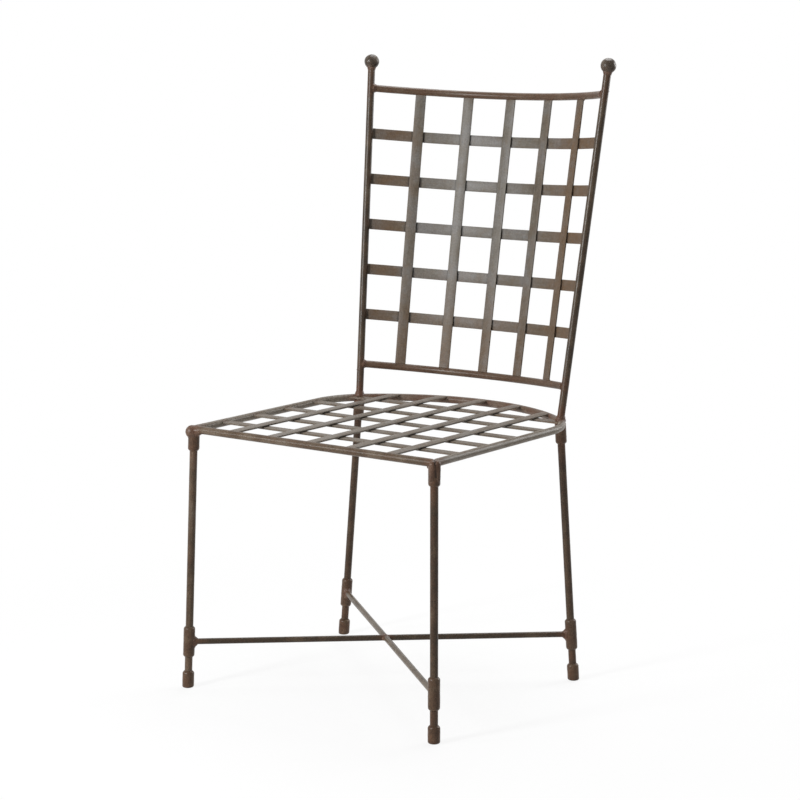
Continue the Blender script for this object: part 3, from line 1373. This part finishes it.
@dataclass
class BackFrame:
    """The two posts, the bent rails between them, the forged balls and the weld metal."""

    shop: Workshop
    ball_radius: float = 0.01368
    crown: float = 0.95
    facet_count: int = 30
    facet_depth: float = 0.085
    facet_sharpness: float = 90.0
    facet_seeds: tuple[int, int] = (31, 57)
    flattest: float = 0.9
    swell: float = 0.012
    pit_depth: float = 0.008
    rail_skin: float = 0.0001
    rail_step: float = 0.003
    neck_depth: float = 0.024
    neck_radius: float = 0.0128
    neck_cone: Cone = Cone(-0.0155, -0.010, 0.0068, 0.0082)
    foot_turns: tuple[tuple[float, float], ...] = ((0.0, 0.08), (0.07, 0.15))
    foot_skin: float = 0.0005
    foot_rise: float = 0.024
    foot_cone: Cone = Cone(0.0015, 0.0115, 0.0098, 0.0070)
    core_low: float = 0.014
    core_high: float = 0.004
    core_radius: float = 0.0092
    saddle_half: float = 0.014
    throat: float = 0.019
    rail_cone: Cone = Cone(0.004, 0.0098, 0.0088, 0.0068)

    def build(self) -> None:
        """Make posts, rails, balls and welds."""
        plan = PLAN
        for name, side in SIDES.items():
            rises = np.linspace(0.0018, plan.post_length - 0.010, 120)
            line = [plan.post_point(side, rise) for rise in rises]
            bar = self.shop.bar(f"back_post_{name}_bar", line, plan.rod_radius)
            self.shop.book(bar, Stock.ROD, f"back_post_{name}", warmth=0.05, tone=-0.08)
            self.ball(name, side)
            self.neck_weld(name, side)
        rails = {"bottom_back_rail": plan.bottom_rail_rise, "top_back_rail": plan.top_rail_rise}
        for label, rise in rails.items():
            line = plan.bowed_line(rise, count=121)
            radius = plan.rod_radius - self.rail_skin
            item = self.shop.bar(f"{label}_bar", line, radius, self.rail_step, plan.back_frame)
            self.shop.book(item, Stock.ROD, label, warmth=0.62, tone=0.04)
        self.weld_feet()
        self.weld_rails()

    def ball(self, name: str, side: int) -> None:
        """A ball forged from round bar, its surface left with hammer facets, welded on its post."""
        steps = np.linspace(-math.pi / 2, math.pi / 2, 49)[1:-1]
        profile = [(math.cos(step) * self.ball_radius, math.sin(step) * self.ball_radius) for step in steps]
        item = shell_object(f"finial_{name}_ball", turned_shell(profile, 72))
        chance = np.random.default_rng(self.facet_seeds[side > 0])
        blows = chance.normal(size=(self.facet_count, 3))
        blows /= np.linalg.norm(blows, axis=1)[:, None]
        depth = 1 - self.facet_depth * chance.uniform(0.25, 1.0, self.facet_count)
        corners = corners_of(item)
        unit = corners / np.linalg.norm(corners, axis=1)[:, None]
        reach = np.minimum(1.0, depth / np.maximum(unit @ blows.T, 0.05))
        sharp = self.facet_sharpness
        soft = -np.log(np.mean(np.exp(-reach * sharp), axis=1) * self.facet_count) / sharp
        radius = np.minimum(1.0, np.maximum(soft, self.flattest) + self.swell)
        seed = Vector((side * 5, 0, 0))
        pits = np.array([noise.noise(Vector(u) * 9 + seed) for u in unit]) * self.pit_depth
        corners = unit * (self.ball_radius * np.minimum(radius + pits, 1.0))[:, None]
        corners[:, 2] *= np.where(corners[:, 2] > 0, self.crown, 1.0)
        set_corners(item, corners)
        self.shop.dress(item, Stock.BALL)
        centre = PLAN.post_point(side, PLAN.post_length)
        self.shop.moved(item, frame_along(centre, centre - PLAN.post_point(side, 0)))
        self.shop.book(item, Stock.BALL, f"finial_{name}")

    def neck_weld(self, name: str, side: int) -> None:
        """Weld metal between a ball and its post."""
        centre = PLAN.post_point(side, PLAN.post_length)
        low = PLAN.post_point(side, PLAN.post_length - self.neck_depth)
        up = (centre - low).normalized()
        shells = [
            bar_shell(low, centre, PLAN.rod_radius - SKIN),
            lump_shell(centre, (self.neck_radius,) * 3),
            self.neck_cone.along(centre, up),
        ]
        self.shop.weld(f"finial_{name}_neck_weld", shells, softening=10)
        self.shop.heat(centre - up * 0.015, reach=0.016, strength=0.8)

    def weld_feet(self) -> None:
        """Flared weld metal where the posts stand on the hoop, over the collars of the rear legs."""
        shells = []
        radius = PLAN.corner_radius
        for name, side in SIDES.items():
            foot = PLAN.post_point(side, 0)
            leg = PLAN.leg("rear", name)
            past = foot.y - PLAN.front_y - PLAN.side_length
            outwards = Vector((foot.x - side * PLAN.corner_x, past, 0)).normalized()
            centre = foot - outwards * radius
            for way in (-1, 1):
                for turns in self.foot_turns:
                    turned = (Matrix.Rotation(way * turn, 3, "Z") for turn in turns)
                    ends = [centre + turn @ outwards * radius for turn in turned]
                    shells.append(bar_shell(*ends, PLAN.rod_radius - self.foot_skin))
            cone = self.foot_cone
            low, high = PLAN.post_point(side, cone.start), PLAN.post_point(side, cone.end)
            shells += [
                bar_shell(foot, PLAN.post_point(side, self.foot_rise), PLAN.rod_radius - SKIN),
                bar_shell(low, high, cone.start_radius, cone.end_radius),
                bar_shell(leg.at(foot.z - self.core_low), leg.at(foot.z - self.core_high), self.core_radius),
            ]
            self.shop.heat(foot + upward(0.006), reach=0.034, strength=1.0)
        self.shop.weld("post_foot_weld_metal", shells, "post_foot_welds", softening=16)

    def weld_rails(self) -> None:
        """Weld metal where the rails meet the posts."""
        shells = []
        for rise in (PLAN.bottom_rail_rise, PLAN.top_rail_rise):
            line = [PLAN.back_frame @ point for point in PLAN.bowed_line(rise, count=121)]
            for side, near in ((-1, line), (1, line[::-1])):
                joint = near[0]
                inwards = (near[4] - joint).normalized()
                low = PLAN.post_point(side, rise - self.saddle_half)
                high = PLAN.post_point(side, rise + self.saddle_half)
                shells += [
                    bar_shell(low, high, PLAN.rod_radius - SKIN),
                    bar_shell(joint, joint + inwards * self.throat, PLAN.rod_radius - SKIN),
                    self.rail_cone.along(joint, inwards),
                ]
                self.shop.heat(joint + inwards * 0.006, reach=0.022, strength=0.8)
        self.shop.weld("back_rail_weld_metal", shells, "back_rail_welds", softening=14)


@dataclass
class SeatLattice:
    """Five straps from front to back over five from side to side, inside the ring."""

    shop: Workshop
    end_reach: float = 0.03
    tack_radius: float = 0.0015
    end_tack: float = 0.007
    crossing_tack: float = 0.003
    side_tack: float = 0.006
    tack_sink: float = 0.0006
    crossing_gap: float = 0.0004
    side_gap: float = 0.0002
    side_sink: float = 0.0003

    def build(self) -> None:
        """Make the straps and the tack welds that hold them."""
        high = PLAN.ring_height + PLAN.strap_thickness * 1.5 + PLAN.lap_gap
        low = PLAN.ring_height + PLAN.strap_thickness / 2
        for number in STRAP_NUMBERS:
            self.column(number, PLAN.seat_column_x(number), high)
            self.row(number, PLAN.seat_row_y(number), low)
        self.tacks(high, low)

    def column(self, number: int, x: float, z: float) -> None:
        """A strap from the front rail to the hoop's back bend."""
        start, end = Vector((x, PLAN.front_y, z)), Vector((x, PLAN.hoop_back_y(x), z))
        item = self.shop.strap(f"seat_column_{number}_strap", [start, end], Vector((1, 0, 0)))

        def depth(offset: np.ndarray) -> np.ndarray:
            """How far the hoop's centre line lies behind the strap's middle, across the strap."""
            return np.array([PLAN.hoop_back_y(x + across) - end.y for across in offset[:, 0]])

        slide_ends(item, end, Vector((0, 1, 0)), self.end_reach, depth)
        self.shop.book(item, Stock.STRAP, f"seat_column_{number}", warmth=0.4)

    def row(self, number: int, y: float, z: float) -> None:
        """A strap from side to side of the hoop."""
        reach = PLAN.hoop_side_x(y)
        ends = [Vector((side * reach, y, z)) for side in (-1, 1)]
        item = self.shop.strap(f"seat_row_{number}_strap", ends, Vector((0, 1, 0)))

        def depth(offset: np.ndarray) -> np.ndarray:
            """How far outside the strap's middle the hoop's centre line lies, across the strap."""
            return np.array([PLAN.hoop_side_x(y + across) - reach for across in offset[:, 1]])

        for side, end in zip((-1, 1), ends):
            slide_ends(item, end, Vector((side, 0, 0)), self.end_reach, depth)
        self.shop.book(item, Stock.STRAP, f"seat_row_{number}", warmth=0.46)

    def tacks(self, high: float, low: float) -> None:
        """Short weld beads under the crossings and under the straps' ends."""
        plan, shop = PLAN, self.shop
        half, thick = plan.strap_width / 2, plan.strap_thickness
        lap = low + thick / 2
        beads = []
        for column in STRAP_NUMBERS:
            x = plan.seat_column_x(column)
            back = plan.hoop_back_y(x) - plan.rod_radius
            slope = -x / math.sqrt(plan.back_radius ** 2 - x ** 2)
            for y, lean in ((plan.front_y + plan.rod_radius, 0.0), (back, slope)):
                step = (self.end_tack, self.end_tack * lean, 0)
                beads.append(dash((x, y, high - thick / 2 - self.tack_sink), step))
                shop.heat(Vector((x, y, high)), reach=0.013, strength=0.62)
            for row in STRAP_NUMBERS:
                y = plan.seat_row_y(row) + half + self.crossing_gap
                for edge in (x - half, x + half):
                    shop.seams.append((Vector((edge, y - 2 * half, lap)), Vector((edge, y, lap))))
                beads.append(dash((x, y, lap - self.tack_sink), (self.crossing_tack, 0, 0)))
                shop.heat(Vector((x, y - half, low)), reach=0.010, strength=0.42)
        for row in STRAP_NUMBERS:
            y = plan.seat_row_y(row)
            for side in SIDES.values():
                x = side * (plan.hoop_side_x(y) - plan.rod_radius - self.side_gap)
                beads.append(dash((x, y, low - thick / 2 - self.side_sink), (0, self.side_tack, 0)))
                shop.heat(Vector((x, y, low)), reach=0.013, strength=0.62)
        shop.tacks("seat_strap_tack_welds", beads, self.tack_radius)


@dataclass
class BackLattice:
    """Five uprights in front of five bent rows, inside the frame of the back."""

    shop: Workshop
    row_stains: tuple[tuple[float, float, float], ...] = ((-0.2, 0.055, 0.8), (0.2, 0.135, 0.9))
    tack_radius: float = 0.0014
    end_tack: float = 0.006
    crossing_tack: float = 0.003
    rail_overlap: float = 0.0004
    end_gap: float = 0.0005
    crossing_gap: float = 0.0006
    crossing_drop: float = 0.0003
    post_overlap: float = 0.0012

    def build(self) -> None:
        """Make the straps and the tack welds that hold them."""
        frame = PLAN.back_frame
        for number in STRAP_NUMBERS:
            face = PLAN.upright_face(number)
            across = Vector((math.cos(face), -math.sin(face), 0))
            line = PLAN.upright_ends(number)
            item = self.shop.strap(f"back_upright_{number}_strap", line, across, frame)
            self.shop.book(item, Stock.STRAP, f"back_upright_{number}", tone=0.04)
            line = PLAN.bowed_line(PLAN.row_rise(number), PLAN.row_behind())
            item = self.shop.strap(f"back_row_{number}_strap", line, upward(1), frame)
            self.shop.book(item, Stock.STRAP, f"back_row_{number}", tone=0.1)
        beads = []
        for number in STRAP_NUMBERS:
            beads += self.upright_tacks(number, frame) + self.row_tacks(number, frame)
        beads = [[frame @ point for point in line] for line in beads]
        self.shop.tacks("back_strap_tack_welds", beads, self.tack_radius)

    def upright_tacks(self, number: int, frame: Matrix) -> list[list[Vector]]:
        """Beads behind an upright's ends and its crossings, as lines in the back's frame."""
        plan, shop = PLAN, self.shop
        half, thick = plan.strap_width / 2, plan.strap_thickness
        low, high = plan.upright_ends(number)
        beads = []
        for end, away in ((low, 1), (high, -1)):
            rise = end.z + away * (plan.rod_radius - self.rail_overlap)
            beads.append(dash((end.x, end.y + thick / 2 + self.end_gap, rise), (self.end_tack, 0, 0)))
            shop.heat(frame @ end, reach=0.016, strength=0.66)
        shop.heat(frame @ low, reach=0.2, strength=0.74, only=Stock.STRAP)
        for rise in (plan.row_rise(row) for row in STRAP_NUMBERS):
            point = low.lerp(high, (rise - low.z) / (high.z - low.z))
            for edge in (point.x - half, point.x + half):
                seam = plan.depth_at(rise, edge) + thick / 2
                shop.seams.append(tuple(frame @ Vector((edge, seam, rise + way * half)) for way in (-1, 1)))
            depth = plan.depth_at(rise, point.x) + thick / 2 + self.crossing_gap
            middle = (point.x, depth, rise - half - self.crossing_drop)
            beads.append(dash(middle, (self.crossing_tack, 0, 0)))
            shop.heat(frame @ Vector((point.x, depth, rise)), reach=0.010, strength=0.40)
        return beads

    def row_tacks(self, number: int, frame: Matrix) -> list[list[Vector]]:
        """Beads at a row's ends, as lines in the back's frame."""
        plan, shop = PLAN, self.shop
        rise = plan.row_rise(number)
        beads = []
        for side in SIDES.values():
            x = side * (plan.half_width_at(rise) - plan.rod_radius + self.post_overlap)
            behind = plan.row_behind() + plan.strap_thickness / 2 + plan.depth_at(rise, abs(x))
            beads.append(dash((x, behind, rise), (0, 0, self.end_tack)))
            shop.heat(frame @ Vector((x, 0.003, rise)), reach=0.013, strength=0.55)
        for x, reach, strength in self.row_stains:
            shop.heat(frame @ Vector((x, plan.depth_at(rise, x), rise)), reach, strength, Stock.STRAP)
        return beads


@dataclass
class Spatter:
    """Drops of weld spatter that stuck to the bars near the welds."""

    shop: Workshop
    drops_each: int = 5
    largest: float = 0.0008

    def build(self) -> None:
        """Throw a few drops on the tubes and bars near the main welds."""
        chance = np.random.default_rng(11)
        points = []
        for leg in PLAN.legs():
            tubes = ((PLAN.ring_height - 0.022, 0.0095), (PLAN.stretcher_height + 0.004, 0.00965))
            for height, radius in tubes:
                points += self.thrown(leg.frame(), radius, height, 0.009, chance)
        for side in SIDES.values():
            foot = PLAN.post_point(side, 0)
            frame = frame_along(foot, PLAN.post_point(side, 1) - foot)
            for rise in (0.03, PLAN.bottom_rail_rise, PLAN.top_rail_rise):
                points += self.thrown(frame, PLAN.rod_radius, rise, 0.016, chance)
        item = self.shop.spatter.grow(
            "weld_spatter_drops", [[point] for point in points], self.shop.materials[Stock.WELD],
            self.shop.next_seed(), Radius=self.largest, Smallest=0.35,
        )
        self.shop.book(item, Stock.WELD)

    def thrown(
        self, frame: Matrix, radius: float, middle: float, spread: float, chance: np.random.Generator
    ) -> list[Vector]:
        """Points on a bar's surface, spread about a place along its frame."""
        points = []
        for _ in range(self.drops_each):
            along = middle + chance.uniform(-spread, spread)
            angle = chance.uniform(0, 2 * math.pi)
            points.append(frame @ Vector((radius * math.cos(angle), radius * math.sin(angle), along)))
        return points


# Studio.

@dataclass(frozen=True)
class Lamp:
    """A soft rectangular lamp: its place, its width and height, and its power in watts."""

    name: str
    place: tuple[float, float, float]
    width: float
    height: float
    power: float

    def hang(self) -> None:
        """Hang the lamp so that it points at the chair's middle."""
        light = bpy.data.lights.new(self.name, "AREA")
        light.shape = "RECTANGLE"
        light.size, light.size_y, light.energy = self.width, self.height, self.power
        item = new_object(self.name, light)
        place = Vector(self.place)
        item.matrix_world = frame_along(place, place - upward(0.5))


@dataclass
class Studio:
    """A white studio: pale floor, soft lamps and the camera where the photograph was taken."""

    camera_place: Vector = Vector((2.29629, -3.14409, 1.15194))
    azimuth: float = 36.446
    elevation: float = 9.788
    roll: float = -0.105
    focal_pixels: float = 2319.5
    frame_pixels: float = 800.0
    sensor: float = 36.0
    floor_rings: tuple[float, ...] = (0.5, 1.0, 2.0, 4.0, 8.0, 14.0)
    floor_drop: float = 0.0004
    paper: Paint = (0.8, 0.8, 0.8, 1.0)
    glow: float = 0.86
    shadow_end: tuple[float, float] = (0.45, 1.1)
    far_clip: float = 60.0
    ambient: float = 0.098
    lamps: tuple[Lamp, ...] = (
        Lamp("key_lamp", (-0.72, -2.62, 1.45), 0.4, 1.3, 74.0),
        Lamp("side_lamp", (-1.75, -2.35, 1.15), 0.5, 0.9, 17.0),
        Lamp("top_lamp", (-0.2, 0.9, 2.7), 1.4, 1.4, 52.0),
        Lamp("rim_lamp", (1.25, 2.2, 1.4), 1.4, 1.4, 38.0),
    )

    def build(self) -> None:
        """Set up the world, the floor, the lamps and the camera."""
        bpy.context.scene.view_settings.view_transform = "Standard"
        self.world()
        self.floor()
        for lamp in self.lamps:
            lamp.hang()
        self.camera()

    @staticmethod
    def seen_plainly(sheet: NodeSheet) -> Socket:
        """1 for rays from the camera, reflections and transmission, otherwise 0."""
        path = sheet.add("ShaderNodeLightPath").outputs
        either = sheet.maths("MAXIMUM", path["Is Camera Ray"], path["Is Glossy Ray"])
        return sheet.maths("MAXIMUM", either, path["Is Transmission Ray"])

    def world(self) -> None:
        """A white surround that lights the chair only softly."""
        world = bpy.data.worlds.new("white_surround")
        sheet = NodeSheet.of(world)
        bpy.context.scene.world = world
        strength = sheet.ranged(self.seen_plainly(sheet), 0.0, 1.0, self.ambient, 1.0)
        back = sheet.add("ShaderNodeBackground", {"Color": WHITE, "Strength": strength})
        sheet.end("ShaderNodeOutputWorld", back.outputs[0])

    def floor(self) -> None:
        """A pale floor that keeps a faint shadow near the chair and is white further out."""
        shell = turned_shell([(radius, 0.0) for radius in self.floor_rings], 64)
        faces = [face for face in shell.faces if len(face) == 4 or face[0] == len(shell.corners) - 2]
        item = shell_object("studio_floor", Shell(shell.corners, faces))
        item.data.flip_normals()
        item.data.transform(Matrix.Translation(upward(-self.floor_drop)))
        item.data.materials.append(self.floor_material())

    def floor_material(self) -> bpy.types.Material:
        """White paper that glows, so that only a faint shadow stays on it near the chair."""
        made = bpy.data.materials.new("studio_floor_white")
        sheet = NodeSheet.of(made)
        paper = sheet.add("ShaderNodeBsdfDiffuse", {"Color": self.paper}).outputs[0]
        white = sheet.add("ShaderNodeEmission", {"Color": WHITE, "Strength": 1.0}).outputs[0]
        faint = sheet.add("ShaderNodeMixShader", {0: self.glow, 1: paper, 2: white}).outputs[0]
        wires = {0: sheet.object_place()}
        distance = sheet.add("ShaderNodeVectorMath", wires, operation="LENGTH").outputs["Value"]
        far = sheet.ranged(distance, *self.shadow_end, 0.0, 1.0, interpolation_type="SMOOTHSTEP")
        shown = sheet.add("ShaderNodeMixShader", {0: far, 1: faint, 2: white}).outputs[0]
        wires = {0: self.seen_plainly(sheet), 1: paper, 2: shown}
        whole = sheet.add("ShaderNodeMixShader", wires).outputs[0]
        sheet.end("ShaderNodeOutputMaterial", whole)
        return made

    def camera(self) -> None:
        """The camera at the photograph's viewing angle."""
        data = bpy.data.cameras.new("photo_camera")
        data.sensor_width = self.sensor
        data.lens = self.focal_pixels * self.sensor / self.frame_pixels
        data.clip_end = self.far_clip
        item = new_object("photo_camera", data)
        azimuth, elevation, roll = (math.radians(a) for a in (self.azimuth, self.elevation, self.roll))
        level = math.cos(elevation)
        back = Vector((math.sin(azimuth) * level, -math.cos(azimuth) * level, math.sin(elevation)))
        right = Vector((math.cos(azimuth), math.sin(azimuth), 0))
        tilted = math.cos(roll) * right + math.sin(roll) * back.cross(right)
        turn = Matrix((tilted, back.cross(tilted), back)).transposed().to_4x4()
        item.matrix_world = Matrix.Translation(self.camera_place) @ turn
        bpy.context.scene.camera = item


def main() -> None:
    """Dress the chair round its frame and set up the studio."""
    logging.basicConfig(level=logging.INFO, format="%(name)s: %(message)s")
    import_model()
    shop = Workshop()
    for sub_assembly in (SeatRing, LegSet, Stretchers, BackFrame, SeatLattice, BackLattice, Spatter):
        sub_assembly(shop).build()
    shop.stain_all()
    Studio().build()


if __name__ == "__main__":
    main()
